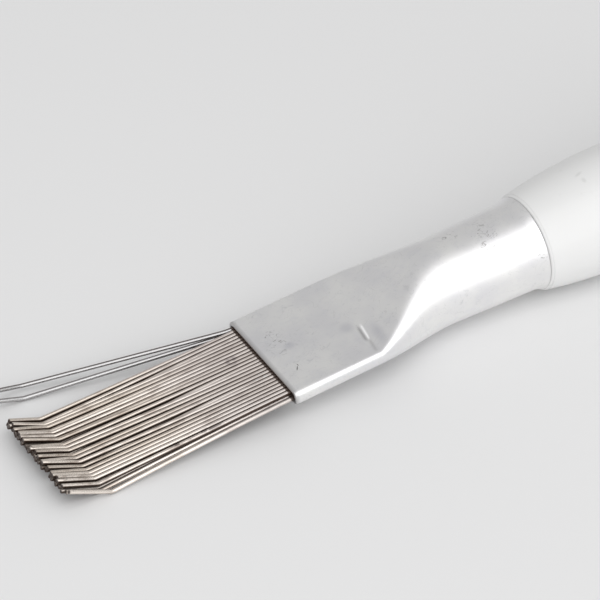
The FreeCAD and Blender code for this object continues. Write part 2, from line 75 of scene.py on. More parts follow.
# Where the corners of the hooks lie across the comb, wire by wire from the far side.
# Some wires of the top row are squeezed down between their neighbours on the way.
TOP_CORNERS = [None, 12.85, 11.6, 9.83, 10.7, 9.7, 8.55, 7.54, 6.6, 5.65, 4.85, 2.81, 0.78,
               1.77, 0.62, -1.23, -2.38, -4.4, -3.77, -5.16, -6.84, -8.04, -9.1, -10.2, -12.0]
BOTTOM_CORNERS = [None, 12.85, 11.84, 10.84, 8.83, 7.82, 6.81, 5.81, 4.80, 3.80, 2.79, 1.78,
                  -0.23, -1.23, -2.24, -3.25, -4.25, -6.26, -7.27, -8.28, -9.28, -10.29,
                  -11.29, -12.0, -13.1, -14.7]
SUNK = {3: 0.4, 4: 1.05, 7: 0.35, 9: 0.3, 10: 0.6, 13: 1.05, 18: 0.9, 20: 0.25}
TOP_DRIFT = {5: 0.0, 6: -0.8, 8: -0.8, 11: -0.2, 12: -1.0, 15: -0.5, 16: -0.4, 17: -0.8, 21: -0.4,
             25: 0.1}
BOTTOM_DRIFT = {25: 0.2, 26: 0.3}
BOTTOM_LIFT = {25: 0.05, 26: 0.07}
CUT_STEP = 2.4
BEND_STEP = 1.7
FAR_PLACE = WIRE_PITCH * (BOTTOM_COUNT - 1) / 2
WIRE_SIDES = 20
SEEN_SIDE = math.radians(136.0)     # round a wire, from its near side over its top

# Where rounds lie along a wire's root and in the curve outside the mouth, and the sizes of the
# last rounds as shares of the radius, over the chamfer and the slanting cut face.
ROOT_STEPS = [ROOT_DEPTH, 8.0, 2.0]
MOUTH_STEPS = [0.0, 0.45, 0.65, 1.1, 1.7, 2.3]
FACE_SHARES = [0.82, 0.5, 0.02]
FACE_DARKNESS = [0.3, 1.0, 1.0]
FACE_SLANT = 0.25
CHAMFER = 0.07

# Wires of the bottom row from this one on are looked at from the side, so less painted shade is put
# on them.
LESS_SHADED_FROM = 23

WALL = 0.8
FLAT_HALF = ROW_PITCH / 2 + WIRE_RADIUS + 0.02 + WALL
FLAT_REACH = FAR_PLACE - 0.12
FLAT_LENGTH = 22.3
FLAT_SLOPE = math.radians(2.0)
TUBE_RISE = 0.5
NECK_LENGTH = 22.5
NECK_SOFTNESS = 0.44
TUBE_RADIUS = 10.0
TUBE_LENGTH = 20.5
TUBE_FLARE = 0.45
LIP_LENGTH = 2.5
LIP_FLARE = 0.7
TUBE_END = TUBE_RADIUS + TUBE_FLARE
RIM_RADIUS = TUBE_END + LIP_FLARE
FERRULE_LENGTH = FLAT_LENGTH + NECK_LENGTH + TUBE_LENGTH + LIP_LENGTH

FIT_GAP = 0.05
TENON_LENGTH = 20.0
TENON_CHAMFER = 1.0
SEAT_GAP = 0.1
SHOULDER_RADIUS = RIM_RADIUS + 0.3
SHOULDER_ROUND = 0.6
SWELL_LENGTH = 24.5
GRIP_RADIUS = RIM_RADIUS + 2.6
SWELL_RUN = SWELL_LENGTH - SEAT_GAP
SWELL_RISE = GRIP_RADIUS - SHOULDER_RADIUS
SWELL_RADIUS = (SWELL_RUN ** 2 + SWELL_RISE ** 2) / (2 * SWELL_RISE)
HANDLE_LENGTH = 96.0
BUTT_ROUND = 6.0


def unit(vectors):
    """Vectors scaled to length one."""
    return vectors / np.linalg.norm(vectors, axis=-1, keepdims=True)


def to_row(points):
    """Points of the comb's frame in millimetres, set down in the row frame in metres."""
    return (COMB_ORIGIN + points @ COMB_AXES) * MM


def ease(value, low, high):
    """A smooth step: 0 below low, 1 above high, and 3 s^2 - 2 s^3 in between."""
    s = np.clip((value - low) / (high - low), 0, 1)
    return s * s * (3 - 2 * s)


def grid_faces(rows, columns, close_rows):
    """Quads of a grid whose columns close on themselves, and its rows too if asked."""
    last = rows if close_rows else rows - 1
    i, j = np.meshgrid(np.arange(last), np.arange(columns), indexing="ij")
    here = i * columns + j
    right = i * columns + (j + 1) % columns
    above = ((i + 1) % rows) * columns + j
    corner = ((i + 1) % rows) * columns + (j + 1) % columns
    return np.stack([here, right, corner, above], axis=-1).reshape(-1, 4)


def surface(name, grid, material, nodes, caps=False, close_rows=False, values=None,
            crisp=35.0):
    """A closed piece from a grid of points in metres, rows along it and columns around it.
    Its UV map holds the share around and the share along. Each of `values` is an attribute:
    one number, one a row, or one a point. Edges over `crisp` degrees stay sharp."""
    rows, columns = grid.shape[:2]
    points = grid.reshape(-1, 3)
    quads = grid_faces(rows, columns, close_rows)
    faces = quads.tolist()
    if caps:
        faces.append(list(range(columns))[::-1])
        faces.append(list(range((rows - 1) * columns, rows * columns)))
    mesh = bpy.data.meshes.new(name)
    mesh.from_pydata(points.tolist(), [], faces)
    corner_points = np.empty(len(mesh.loops), dtype=np.int64)
    mesh.loops.foreach_get("vertex_index", corner_points)
    around = (corner_points % columns) / columns
    along = (corner_points // columns) / max(rows - 1, 1)
    uv = mesh.uv_layers.new(name="UVMap")
    uv.data.foreach_set("uv", np.stack([around, along], axis=-1).astype(np.float32).ravel())
    for key, numbers in (values or {}).items():
        layer = mesh.attributes.new(key, "FLOAT", "POINT")
        spread = np.broadcast_to(np.asarray(numbers, dtype=np.float32), (rows, columns))
        layer.data.foreach_set("value", np.ascontiguousarray(spread).ravel())
    mesh.shade_smooth()
    mesh.set_sharp_from_angle(angle=math.radians(crisp))
    mesh.materials.append(material)
    mesh.validate()
    piece = bpy.data.objects.new(name, mesh)
    bpy.context.scene.collection.objects.link(piece)
    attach(piece, "root")
    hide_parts(*nodes)
    return piece


class Finish:
    """A material built node by node around one Principled shader."""

    def __init__(self, name):
        self.material = bpy.data.materials.new(name)
        self.material.use_nodes = True
        self.tree = self.material.node_tree
        self.shader = self.tree.nodes["Principled BSDF"]
        self.place = self.node("ShaderNodeTexCoord").outputs["Object"]

    def node(self, kind, **settings):
        made = self.tree.nodes.new(kind)
        for key, value in settings.items():
            setattr(made, key, value)
        return made

    def link(self, source, socket):
        self.tree.links.new(source, socket)

    def feed(self, socket, value):
        """Link a socket, or set a plain number or colour on it."""
        if isinstance(value, bpy.types.NodeSocket):
            self.link(value, socket)
        else:
            socket.default_value = value

    def set(self, **values):
        """Plain values on the shader's own sockets."""
        for key, value in values.items():
            self.shader.inputs[key.replace("_", " ")].default_value = value

    def mapped(self, scale=(1, 1, 1), shift=(0, 0, 0)):
        """Object coordinates in millimetres, scaled and shifted."""
        mapping = self.node("ShaderNodeMapping")
        self.link(self.place, mapping.inputs["Vector"])
        mapping.inputs["Scale"].default_value = [s / MM for s in scale]
        mapping.inputs["Location"].default_value = shift
        return mapping.outputs["Vector"]

    def noise(self, vector, scale, detail=3.0, roughness=0.55, distortion=0.0):
        made = self.node("ShaderNodeTexNoise")
        self.link(vector, made.inputs["Vector"])
        made.inputs["Scale"].default_value = scale
        made.inputs["Detail"].default_value = detail
        made.inputs["Roughness"].default_value = roughness
        made.inputs["Distortion"].default_value = distortion
        return made.outputs["Fac"]

    def span(self, value, low, high, to_low=0.0, to_high=1.0):
        """A number's span mapped smoothly onto another, and held at its ends."""
        made = self.node("ShaderNodeMapRange", interpolation_type="SMOOTHSTEP")
        self.link(value, made.inputs["Value"])
        numbers = {"From Min": low, "From Max": high, "To Min": to_low, "To Max": to_high}
        for key, number in numbers.items():
            made.inputs[key].default_value = number
        return made.outputs["Result"]

    def math(self, operation, *values):
        made = self.node("ShaderNodeMath", operation=operation)
        for socket, value in zip(made.inputs, values):
            self.feed(socket, value)
        return made.outputs["Value"]

    def mix(self, share, first, second):
        made = self.node("ShaderNodeMix", data_type="RGBA")
        self.feed(made.inputs["Factor"], share)
        for socket, colour in ((made.inputs[6], first), (made.inputs[7], second)):
            linked = isinstance(colour, bpy.types.NodeSocket)
            self.feed(socket, colour if linked else (*colour, 1.0))
        return made.outputs[2]

    def patch(self, place, radii, turn, soft):
        """1 inside an ellipsoid about a place in millimetres, turned about Z, and 0 outside."""
        mapping = self.node("ShaderNodeMapping", vector_type="TEXTURE")
        self.link(self.place, mapping.inputs["Vector"])
        mapping.inputs["Location"].default_value = [p * MM for p in place]
        mapping.inputs["Rotation"].default_value = (0, 0, turn)
        mapping.inputs["Scale"].default_value = [r * MM for r in radii]
        length = self.node("ShaderNodeVectorMath", operation="LENGTH")
        self.link(mapping.outputs["Vector"], length.inputs[0])
        return self.span(length.outputs["Value"], 1.0 - soft, 1.0, 1.0, 0.0)

    def patches(self, marks):
        """The greatest of several patches, each a place, radii, a turn and a softness."""
        total = None
        for place, radii, turn, soft in marks:
            one = self.patch(place, radii, turn, soft)
            total = one if total is None else self.math("MAXIMUM", total, one)
        return total

    def attribute(self, name):
        return self.node("ShaderNodeAttribute", attribute_name=name).outputs["Fac"]

    def bump(self, height, distance, strength=1.0, under=None):
        """Relief of a height map, whose full range is `distance` millimetres."""
        made = self.node("ShaderNodeBump")
        self.link(height, made.inputs["Height"])
        made.inputs["Distance"].default_value = distance * MM
        made.inputs["Strength"].default_value = strength
        if under is not None:
            self.link(under, made.inputs["Normal"])
        return made.outputs["Normal"]

    def wear(self, colour=None, roughness=None, normal=None):
        for key, value in (("Base Color", colour), ("Roughness", roughness), ("Normal", normal)):
            if value is not None:
                self.feed(self.shader.inputs[key], value)
        return self.material


# Marks of use and patches of painted shade, each a place and radii in millimetres in the row frame,
# a turn about Z in radians, and how much of the patch is its soft edge.
WIRE_BLOTS = [
    ((-72.71, -16.2, 4.32), (5.5, 0.9, 2.5), 0.0, 0.5),
    ((-80.17, -16.38, 3.51), (4.0, 0.8, 2.5), 0.0, 0.5),
    ((-59.31, -0.91, 6.54), (2.0, 1.8, 2.5), 0.0, 0.6),
]
WIRE_DUSTING = [((-56.71, -9.04, 6.78), (2.6, 3.4, 2.5), 0.0, 0.7)]
FERRULE_WORN = [
    ((-49.5, -2.0, 8.5), (3.6, 6.5, 3.0), 0.0, 0.7),
    ((1.1, -7.6, 20.0), (4.6, 7.5, 5.0), 0.0, 0.7),
    ((-5.5, -2.9, 20.9), (3.2, 2.4, 3.0), 0.0, 0.6),
    ((12.0, -13.9, 16.2), (1.6, 2.4, 2.4), 0.0, 0.6),
    ((-3.1, -12.3, 4.6), (2.2, 1.5, 2.0), 0.0, 0.5),
]
FERRULE_SCRATCH = [
    ((-49.48, -12.2, 8.4), (0.9, 0.13, 0.6), 0.97, 0.5),
    ((-48.85, -11.3, 8.45), (0.45, 0.10, 0.6), 1.6, 0.5),
]
# Painted shade beside the fold, and a darker patch on the flat near the mouth.
FERRULE_SHADE = [
    ((-29.6, -13.4, 10.5), (1.9, 5.6, 2.2), -0.12, 0.8),
    ((-34.2, -7.6, 10.0), (2.4, 2.6, 2.2), 0.0, 0.9),
    ((-47.3, -5.0, 8.7), (1.9, 1.6, 2.0), 0.0, 0.8),
]
HANDLE_SCUFF = [
    ((27.1, -5.0, 26.8), (1.6, 0.6, 1.6), 0.3, 0.8),
    ((27.2, -7.2, 26.5), (0.7, 1.1, 1.6), 0.0, 0.8),
]

# Colours of the three finishes.
STEEL_BRIGHT = (0.93, 0.85, 0.775)
STEEL_DARK = (0.68, 0.605, 0.53)
STEEL_STAIN = (0.33, 0.26, 0.21)
STEEL_BLOT = (0.12, 0.085, 0.07)
STEEL_DUSTED = (0.74, 0.70, 0.71)
STEEL_FLOUR = (0.80, 0.80, 0.78)
STEEL_BARE = (0.56, 0.56, 0.57)
# Painted shade, dark brown, for the wires' grooves, their far sides and the band at the mouth.
STEEL_SHADE = (0.047, 0.026, 0.017)
STEEL_CUT = (0.05, 0.035, 0.03)
ALUMINIUM_COOL = (0.86, 0.855, 0.87)
ALUMINIUM_WARM = (0.93, 0.925, 0.915)
ALUMINIUM_BLOTCH = (0.80, 0.80, 0.83)
# Painted shade beside the fold, and a darker patch on the flat.
ALUMINIUM_PATCH_SHADE = (0.62, 0.62, 0.67)
ALUMINIUM_SWIRL = (0.70, 0.70, 0.70)
ALUMINIUM_SPOT = (0.60, 0.60, 0.61)
ALUMINIUM_RUBBED = (0.97, 0.97, 0.96)
ALUMINIUM_PIT = (0.42, 0.41, 0.40)
# Painted shade in the fold's groove and along the mouth's edge.
ALUMINIUM_FOLD_SHADE = (0.32, 0.31, 0.31)
# Painted highlight on the fold's ridge.
ALUMINIUM_RIDGE_HIGHLIGHT = (0.93, 0.93, 0.93)
ALUMINIUM_SCRATCH = (0.10, 0.10, 0.10)
PLASTIC_SHADY = (0.735, 0.735, 0.732)
PLASTIC_CLEAR = (0.775, 0.775, 0.77)
PLASTIC_SOIL = (0.60, 0.59, 0.57)
PLASTIC_SCUFF = (0.50, 0.50, 0.49)
TABLE_PALE = (0.80, 0.80, 0.802, 1.0)


def drawn_steel():
    """Bright drawn wire, with lengthwise die marks, grey dust towards the mouth and dark cut ends,
    and brown painted shade in the grooves between wires, on the sprung wires' far sides and at the
    mouth."""
    finish = Finish("drawn_steel")
    finish.set(Metallic=1.0)
    die_marks = finish.noise(finish.mapped(scale=(0.05, 1.0, 1.0)), 9.0, detail=2.0)
    stain = finish.noise(finish.mapped(scale=(0.16, 0.6, 0.6)), 1.0, detail=4.0)
    # The wires' painted shade, read from the mesh.
    side = finish.attribute("groove_shade")
    cut = finish.attribute("cut")
    dust = finish.attribute("dust")
    bright = finish.mix(finish.attribute("tone"), STEEL_BRIGHT, STEEL_DARK)
    stained = finish.mix(finish.span(stain, 0.48, 0.70, 0.0, 0.6), bright, STEEL_STAIN)
    blots = finish.noise(finish.mapped(scale=(0.5, 1.0, 1.0)), 1.1, detail=3.0, roughness=0.6)
    blotted = finish.math("MULTIPLY", finish.span(blots, 0.44, 0.52), finish.patches(WIRE_BLOTS))
    stained = finish.mix(finish.math("MULTIPLY", blotted, 0.85), stained, STEEL_BLOT)
    flour = finish.math("MULTIPLY", finish.span(blots, 0.50, 0.58), finish.patches(WIRE_DUSTING))
    dulled = finish.mix(finish.math("MULTIPLY", dust, 0.4), stained, STEEL_DUSTED)
    dulled = finish.mix(finish.math("MULTIPLY", flour, 0.6), dulled, STEEL_FLOUR)
    cleaned = finish.mix(finish.attribute("bare"), dulled, STEEL_BARE)
    groove_shaded = finish.mix(side, cleaned, STEEL_SHADE)
    colour = finish.mix(finish.math("MULTIPLY", cut, 0.92), groove_shaded, STEEL_CUT)
    rough = finish.math("ADD", finish.span(die_marks, 0.3, 0.7, 0.22, 0.34),
                        finish.math("MULTIPLY", dust, 0.12))
    # Less metal where the painted shade lies, so its dark colour shows.
    metal = finish.math("SUBTRACT", 1.0, finish.math("MULTIPLY", side, 0.6))
    finish.link(metal, finish.shader.inputs["Metallic"])
    relief = finish.bump(die_marks, 0.01, 0.5)
    return finish.wear(colour, rough, relief)


def pressed_aluminium():
    """Satin tube stock, with faint rolling lines and swirls, dull spots, worn and pitted patches, a
    scratch near the mouth, a darker patch on the flat, painted shade beside the fold, in its groove
    and along the mouth's edge, and a painted highlight on the fold's ridge."""
    finish = Finish("pressed_aluminium")
    finish.set(Metallic=1.0)
    cloud = finish.noise(finish.mapped(), 0.09, detail=4.0)
    grain = finish.noise(finish.mapped(scale=(0.12, 1.0, 1.0)), 3.0, detail=2.0)
    spots = finish.noise(finish.mapped(), 0.75, detail=5.0, roughness=0.65, distortion=0.6)
    where = finish.noise(finish.mapped(shift=(3.0, 7.0, 1.0)), 0.13, detail=1.0)
    spotted = finish.math("MULTIPLY", finish.span(spots, 0.56, 0.66), finish.span(where, 0.52, 0.62))
    flecks = finish.noise(finish.mapped(scale=(0.8, 1.1, 1.0)), 0.95, detail=4.0, roughness=0.62,
                          distortion=1.4)
    worn = finish.patches(FERRULE_WORN)
    pitted = finish.math("MULTIPLY", finish.span(flecks, 0.57, 0.64), worn)
    rubbed = finish.math("MULTIPLY", finish.span(flecks, 0.38, 0.44, 1.0, 0.0), worn)
    drift = finish.noise(finish.mapped(shift=(1.0, 2.0, 5.0)), 0.23, detail=2.0, distortion=1.5)
    swirl = finish.math("ABSOLUTE", finish.math("SUBTRACT", drift, 0.5))
    swirl = finish.span(swirl, 0.0, 0.012, 0.35, 0.0)
    # Painted shade beside the fold, and a darker patch on the flat.
    shade = finish.patches(FERRULE_SHADE)
    blotch = finish.noise(finish.mapped(shift=(9.0, 4.0, 2.0)), 0.42, detail=4.0, roughness=0.6)
    base = finish.mix(finish.span(cloud, 0.3, 0.7), ALUMINIUM_COOL, ALUMINIUM_WARM)
    base = finish.mix(finish.span(blotch, 0.50, 0.72, 0.0, 0.35), base, ALUMINIUM_BLOTCH)
    shaded = finish.mix(finish.math("MULTIPLY", shade, 0.45), base, ALUMINIUM_PATCH_SHADE)
    swirled = finish.mix(swirl, shaded, ALUMINIUM_SWIRL)
    spotty = finish.mix(finish.math("MULTIPLY", spotted, 0.3), swirled, ALUMINIUM_SPOT)
    lit = finish.mix(finish.math("MULTIPLY", rubbed, 0.5), spotty, ALUMINIUM_RUBBED)
    marked = finish.mix(finish.math("MULTIPLY", pitted, 0.7), lit, ALUMINIUM_PIT)
    # Painted shade in the fold's groove and along the mouth's edge.
    folded = finish.mix(finish.attribute("groove_shade"), marked, ALUMINIUM_FOLD_SHADE)
    # Painted highlight on the fold's ridge, which is barely metal there so the light colour shows.
    ridge = finish.attribute("ridge")
    metal = finish.math("SUBTRACT", 1.0, finish.math("MULTIPLY", ridge, 0.9))
    finish.link(metal, finish.shader.inputs["Metallic"])
    ridge_lit = finish.mix(ridge, folded, ALUMINIUM_RIDGE_HIGHLIGHT)
    colour = finish.mix(finish.patches(FERRULE_SCRATCH), ridge_lit, ALUMINIUM_SCRATCH)
    rough = finish.math("ADD", finish.span(cloud, 0.3, 0.7, 0.36, 0.42),
                        finish.math("MULTIPLY", pitted, 0.12))
    relief = finish.bump(grain, 0.006, 0.5)
    relief = finish.bump(spots, 0.02, 0.35, under=relief)
    relief = finish.bump(flecks, 0.02, 0.3, under=relief)
    return finish.wear(colour, rough, relief)


def white_plastic():
    """Moulded white plastic, faintly uneven, with light soiling and a small scuff behind the rim."""
    finish = Finish("white_plastic")
    finish.set(Metallic=0.0, Coat_Weight=0.15, Coat_Roughness=0.15)
    cloud = finish.noise(finish.mapped(), 0.06, detail=3.0)
    soil = finish.noise(finish.mapped(), 0.35, detail=5.0, roughness=0.6)
    base = finish.mix(cloud, PLASTIC_SHADY, PLASTIC_CLEAR)
    colour = finish.mix(finish.span(soil, 0.62, 0.78, 0.0, 0.2), base, PLASTIC_SOIL)
    scuff = finish.math("MULTIPLY", finish.patches(HANDLE_SCUFF), 0.35)
    colour = finish.mix(scuff, colour, PLASTIC_SCUFF)
    rough = finish.span(soil, 0.3, 0.7, 0.32, 0.42)
    relief = finish.bump(cloud, 0.05, 0.4)
    return finish.wear(colour, rough, relief)


def wire_path(place, height, corner, sunk, fan, lean, run, hook_angle, hook, drift):
    """Middle line of a wire: a straight root, the run, an arc of HOOK_RADIUS and a straight hook.
    A sprung wire leaves by a parabola along a line at its fan's angle. Any other wire strays
    sideways with the power 1.5 of the share run, and sinks in a smooth step. Gives the points,
    each one's direction, the way up, and the share of the run at each point."""
    rise_way = np.array([0.0, -math.sin(lean), math.cos(lean)])
    setback = HOOK_RADIUS * math.tan(hook_angle / 2)
    reach = MOUTH_CURVE / 2 + (run - MOUTH_CURVE / 2) * math.cos(fan)
    s = np.concatenate([MOUTH_STEPS,
                        np.linspace(MOUTH_CURVE, reach - setback * math.cos(fan), 16)])
    if corner is None:
        curve = np.where(s < MOUTH_CURVE, s ** 2 / (2 * MOUTH_CURVE), s - MOUTH_CURVE / 2)
        aside = math.tan(fan) * curve
    else:
        aside = (corner - place) * (s / reach) ** 1.5
    course = np.stack([-s, place + aside, height - sunk * ease(s / reach, 0.25, 0.95)], axis=-1)
    root = np.array([[x, place, height] for x in ROOT_STEPS])
    run_way = unit(course[-1] - course[-2])
    near_way = unit(np.cross(run_way, [0.0, 0.0, 1.0])) * -1
    up_way = unit(rise_way - run_way * (rise_way @ run_way))
    turn = np.linspace(0, hook_angle, 9)[1:, None]
    arc = course[-1] + HOOK_RADIUS * (np.sin(turn) * run_way + (1 - np.cos(turn)) * up_way)
    hook_way = run_way * math.cos(hook_angle) + up_way * math.sin(hook_angle)
    far = np.linspace(0, hook - setback, 7)[1:, None]
    tip = arc[-1] + far * hook_way - near_way * drift * (far / hook) ** 1.3
    points = np.concatenate([root, course, arc, tip])
    share = np.concatenate([np.zeros(len(root)), s / reach, np.ones(len(arc)), 1 + far[:, 0] / hook])
    return points, unit(np.gradient(points, axis=0)), rise_way, share


def wire_grid(points, ways, up, slant):
    """A round of WIRE_SIDES points at every point of the path. The last rounds draw in to a
    chamfer and over the cut face, which slants."""
    side = unit(np.cross(ways, up))
    over = np.cross(side, ways)
    angle = np.arange(WIRE_SIDES) * 2 * np.pi / WIRE_SIDES
    cosine, sine = np.cos(angle)[None, :, None], np.sin(angle)[None, :, None]
    rounds = cosine * side[:, None] + sine * over[:, None]
    grid = points[:, None] + WIRE_RADIUS * rounds
    size = np.array(FACE_SHARES)[:, None, None] * WIRE_RADIUS
    tilt = slant * FACE_SLANT * size * sine
    face = points[-1] + size * rounds[-1] + (CHAMFER + tilt) * ways[-1]
    return np.concatenate([grid, face])


def wire_shade(index, top, share, angle):
    """Painted shade, brown, round a wire and along it, from 0 to 1: all but the crown of a wire
    between its neighbours, more of the bottom row under the top row, the side turned from SEEN_SIDE
    on a sprung wire and on the two near ones, and a painted shadow in a band just outside the mouth.
    Every edge is a smooth step."""
    # Painted shade on the side turned from the camera, on a sprung wire and on the two near wires of
    # the bottom row.
    if index == 1:
        groove_shade = 0.9 * (1 - ease(np.cos(angle - SEEN_SIDE + 0.3), 0.45, 0.85))
    elif index >= BOTTOM_COUNT - 1 and not top:
        groove_shade = 0.6 * (1 - ease(np.cos(angle - SEEN_SIDE), 0.3, 0.8))
        groove_shade = np.maximum(groove_shade, 0.25 * (1 - ease(share, 0.1, 0.55)))
    else:
        # Painted shade on all but the crown of a wire between its neighbours.
        narrow = 1 - ease(share, 0.1, 0.6)
        unshaded = ease(np.sin(angle) - 0.3 * narrow, 0.25, 0.82 - 0.2 * narrow)
        groove_shade = 1 - unshaded * (1.0 if top else 0.9)
        # The bottom row lies under the top row and is held darker: painted shade.
        if not top:
            groove_shade = np.maximum(groove_shade, 0.8 if index < LESS_SHADED_FROM else 0.5)
    # A painted shadow of the lip on the wires just outside the mouth.
    return np.maximum(groove_shade, 0.97 * (1 - ease(share, 0.0092, 0.0137)))


def make_row(label, corners, height, sprung, lean, nested, spread, material):
    """A row of wires from the far side, the first sprung out of it."""
    top = label == "top"
    angle = np.arange(WIRE_SIDES) * 2 * np.pi / WIRE_SIDES
    for index, corner in enumerate(corners, start=1):
        place = FAR_PLACE - WIRE_PITCH * (index - 1)
        across = place / FAR_PLACE
        sunk = SUNK.get(index, 0.0) if top else 0.0
        run = RUN_LENGTH + HOOK_SKEW * across - nested * (1 - sunk / ROW_PITCH)
        uneven = CUT_UNEVENNESS * math.sin(CUT_STEP * index + len(corners))
        hook = HOOK_LENGTH - HOOK_SKEW * across + uneven
        if index == BOTTOM_COUNT:
            run -= EDGE_SETBACK
            hook += EDGE_SETBACK
        if top:
            extra = spread * (1 + math.sin(BEND_STEP * index)) / 2
            drift = TOP_DRIFT.get(index, -0.3)
        else:
            extra = BOTTOM_LIFT.get(index, 0.0)
            drift = BOTTOM_DRIFT.get(index, 0.0)
        loose = index == 1
        points, ways, up, share = wire_path(
            place, height, corner, sunk, sprung if loose else 0.0, lean if loose else 0.0, run,
            HOOK_ANGLE + extra, hook, drift)
        grid = wire_grid(points, ways, up, math.sin(CUT_STEP * index))
        share = np.append(share, np.full(len(FACE_SHARES), 2.0))[:, None]
        cut = np.zeros((len(grid), 1))
        cut[-len(FACE_SHARES):, 0] = FACE_DARKNESS
        # Tone varies wire by wire; the sunk wires' tone is raised towards the dark colour, painted
        # shade where they lie between their neighbours.
        tone = 0.5 + 0.5 * math.sin(1.3 * index + len(corners)) if index < 24 else 0.0
        surface(f"wire_{label}_{index:02d}_drawn", to_row(grid), material,
                [f"wire_{label}_{index:02d}"], caps=True,
                values={"groove_shade": wire_shade(index, top, share, angle), "cut": cut,
                        "tone": tone + 0.5 * sunk,
                        "dust": (1 - ease(share, 0.15, 0.75)) * (0.4 if loose else 1.0),
                        "bare": 0.9 if loose else 0.0})


def make_wires(material):
    """The top row hooks inside the bottom row, so its corners lie nearer the mouth."""
    nested = ROW_PITCH * math.tan(HOOK_ANGLE / 2)
    make_row("bottom", BOTTOM_CORNERS, -ROW_PITCH / 2, SPRUNG_BOTTOM, LEAN_BOTTOM, 0.0, 0.0,
             material)
    make_row("top", TOP_CORNERS, ROW_PITCH / 2, SPRUNG_TOP, LEAN_TOP, nested, HOOK_SPREAD,
             material)


def ferrule_spine(along):
    """Middle, tilt, reach and radius of the section at each distance from the mouth. The neck's
    roundness is (1 - w) sin(90 t) + w sin^2(90 t), and the lip is a parabola."""
    t = np.clip((along - FLAT_LENGTH) / NECK_LENGTH, 0, 1)
    rise = np.sin(t * np.pi / 2)
    share = (1 - NECK_SOFTNESS) * rise + NECK_SOFTNESS * rise ** 2
    behind = np.maximum(along - FLAT_LENGTH, 0)
    x = np.minimum(along, FLAT_LENGTH) + behind * math.cos(FLAT_SLOPE)
    z = TUBE_RISE * share - behind * math.sin(FLAT_SLOPE)
    tilt = FLAT_SLOPE * ease(along, FLAT_LENGTH - 0.5, FLAT_LENGTH + 3.0)
    tube = np.clip((along - FLAT_LENGTH - NECK_LENGTH) / TUBE_LENGTH, 0, 1)
    lip = np.clip((along - FLAT_LENGTH - NECK_LENGTH - TUBE_LENGTH) / LIP_LENGTH, 0, 1.2)
    radius = FLAT_HALF + (TUBE_RADIUS - FLAT_HALF) * share + TUBE_FLARE * tube + LIP_FLARE * lip ** 2
    return x, z, tilt, FLAT_REACH * (1 - share), radius


def stadium_rounds(reach, radius, level, round_):
    """Sections across Y and Z for every row: two level lines of `level` steps, and two half
    rounds of `round_` steps. The rounds are circles on the tube and superellipses with sines
    and cosines to the power 1 - 0.28 on the flat. Columns run from the far top corner to the
    near side, and on."""
    across = np.concatenate([np.linspace(1, -1, level, endpoint=False), -np.ones(round_),
                             np.linspace(-1, 1, level, endpoint=False), np.ones(round_)])
    turn = np.concatenate([np.zeros(level), np.linspace(0, 1, round_, endpoint=False),
                           np.ones(level), 1 + np.linspace(0, 1, round_, endpoint=False)]) * np.pi
    power = 1 - 0.28 * reach[:, None] / FLAT_REACH
    sine, cosine = np.round(np.sin(turn), 12), np.round(np.cos(turn), 12)
    y = reach[:, None] * across - radius[:, None] * np.sign(sine) * np.abs(sine) ** power
    z = radius[:, None] * np.sign(cosine) * np.abs(cosine) ** power
    return y, z


def pinch(x, y):
    """Height of the small fold in the flat's top, and how strong the painted highlight on its ridge
    and
    the painted shade in its groove are: a short ridge across the comb with a groove on its mouth
    side, and a faint groove from its near end to the flat's near corner. Each is a bell of the
    distance from a line."""
    near = y + FLAT_REACH + FLAT_HALF
    line = x - FLAT_LENGTH - 0.14 * (near - 8.0)
    span = ease(near, 5.0, 6.6) * (1 - ease(near, 9.4, 11.4))
    ridge = span * np.exp(-(line / 0.26) ** 2)
    groove_shade = span * np.exp(-((line + 0.6) / 0.4) ** 2)
    tail = ease(near, 1.0, 2.5) * (1 - ease(near, 5.5, 7.0)) * np.exp(-(line / 0.4) ** 2)
    return 0.3 * ridge - 0.2 * groove_shade - 0.08 * tail, ridge, np.clip(0.55 * groove_shade + 0.3 * tail, 0, 1)


def make_ferrule(material):
    """The wall's outline is carried round: outside from the mouth to the rim, over the rim's
    rounded edge, back along the inside, and out over the mouth's edge. Every point of it gets
    a section of two level lines and two rounds, and the fold lifts the top."""
    outside = np.concatenate([np.linspace(0.25, FLAT_LENGTH - 2, 24, endpoint=False),
                              np.linspace(FLAT_LENGTH - 2, FLAT_LENGTH + 3, 50, endpoint=False),
                              np.linspace(FLAT_LENGTH + 3, FLAT_LENGTH + NECK_LENGTH, 44,
                                          endpoint=False),
                              np.linspace(FLAT_LENGTH + NECK_LENGTH, FERRULE_LENGTH - 0.2, 34)])
    inside = outside[::-2]
    edge = np.linspace(0, np.pi, 9)[1:-1]
    half = WALL / 2
    along = np.concatenate([outside, FERRULE_LENGTH - 0.2 + 0.2 * np.sin(edge),
                            inside, 0.25 - 0.25 * np.sin(edge)])
    inset = np.concatenate([np.zeros(len(outside)), half - half * np.cos(edge),
                            np.full(len(inside), WALL), half + half * np.cos(edge)])
    x, z, tilt, reach, radius = ferrule_spine(along)
    y, up = stadium_rounds(reach, radius - inset, 72, 48)
    top = ease(up, 0.3, 1.2)
    # Painted shade along the mouth's edge.
    lip_shade = 0.55 * (1 - ease(along, 0.1, 0.9))[:, None]
    fold, ridge, groove_shade = pinch(x[:, None] + 0 * y, y)
    up = up + top * fold
    grid = np.stack([x[:, None] + up * np.sin(tilt)[:, None], y,
                     z[:, None] + up * np.cos(tilt)[:, None]], axis=-1)
    surface("ferrule_pressed", to_row(grid), material, ["ferrule"], close_rows=True,
            values={"ridge": top * ridge, "groove_shade": np.maximum(top * groove_shade, lip_shade)},
            crisp=50.0)


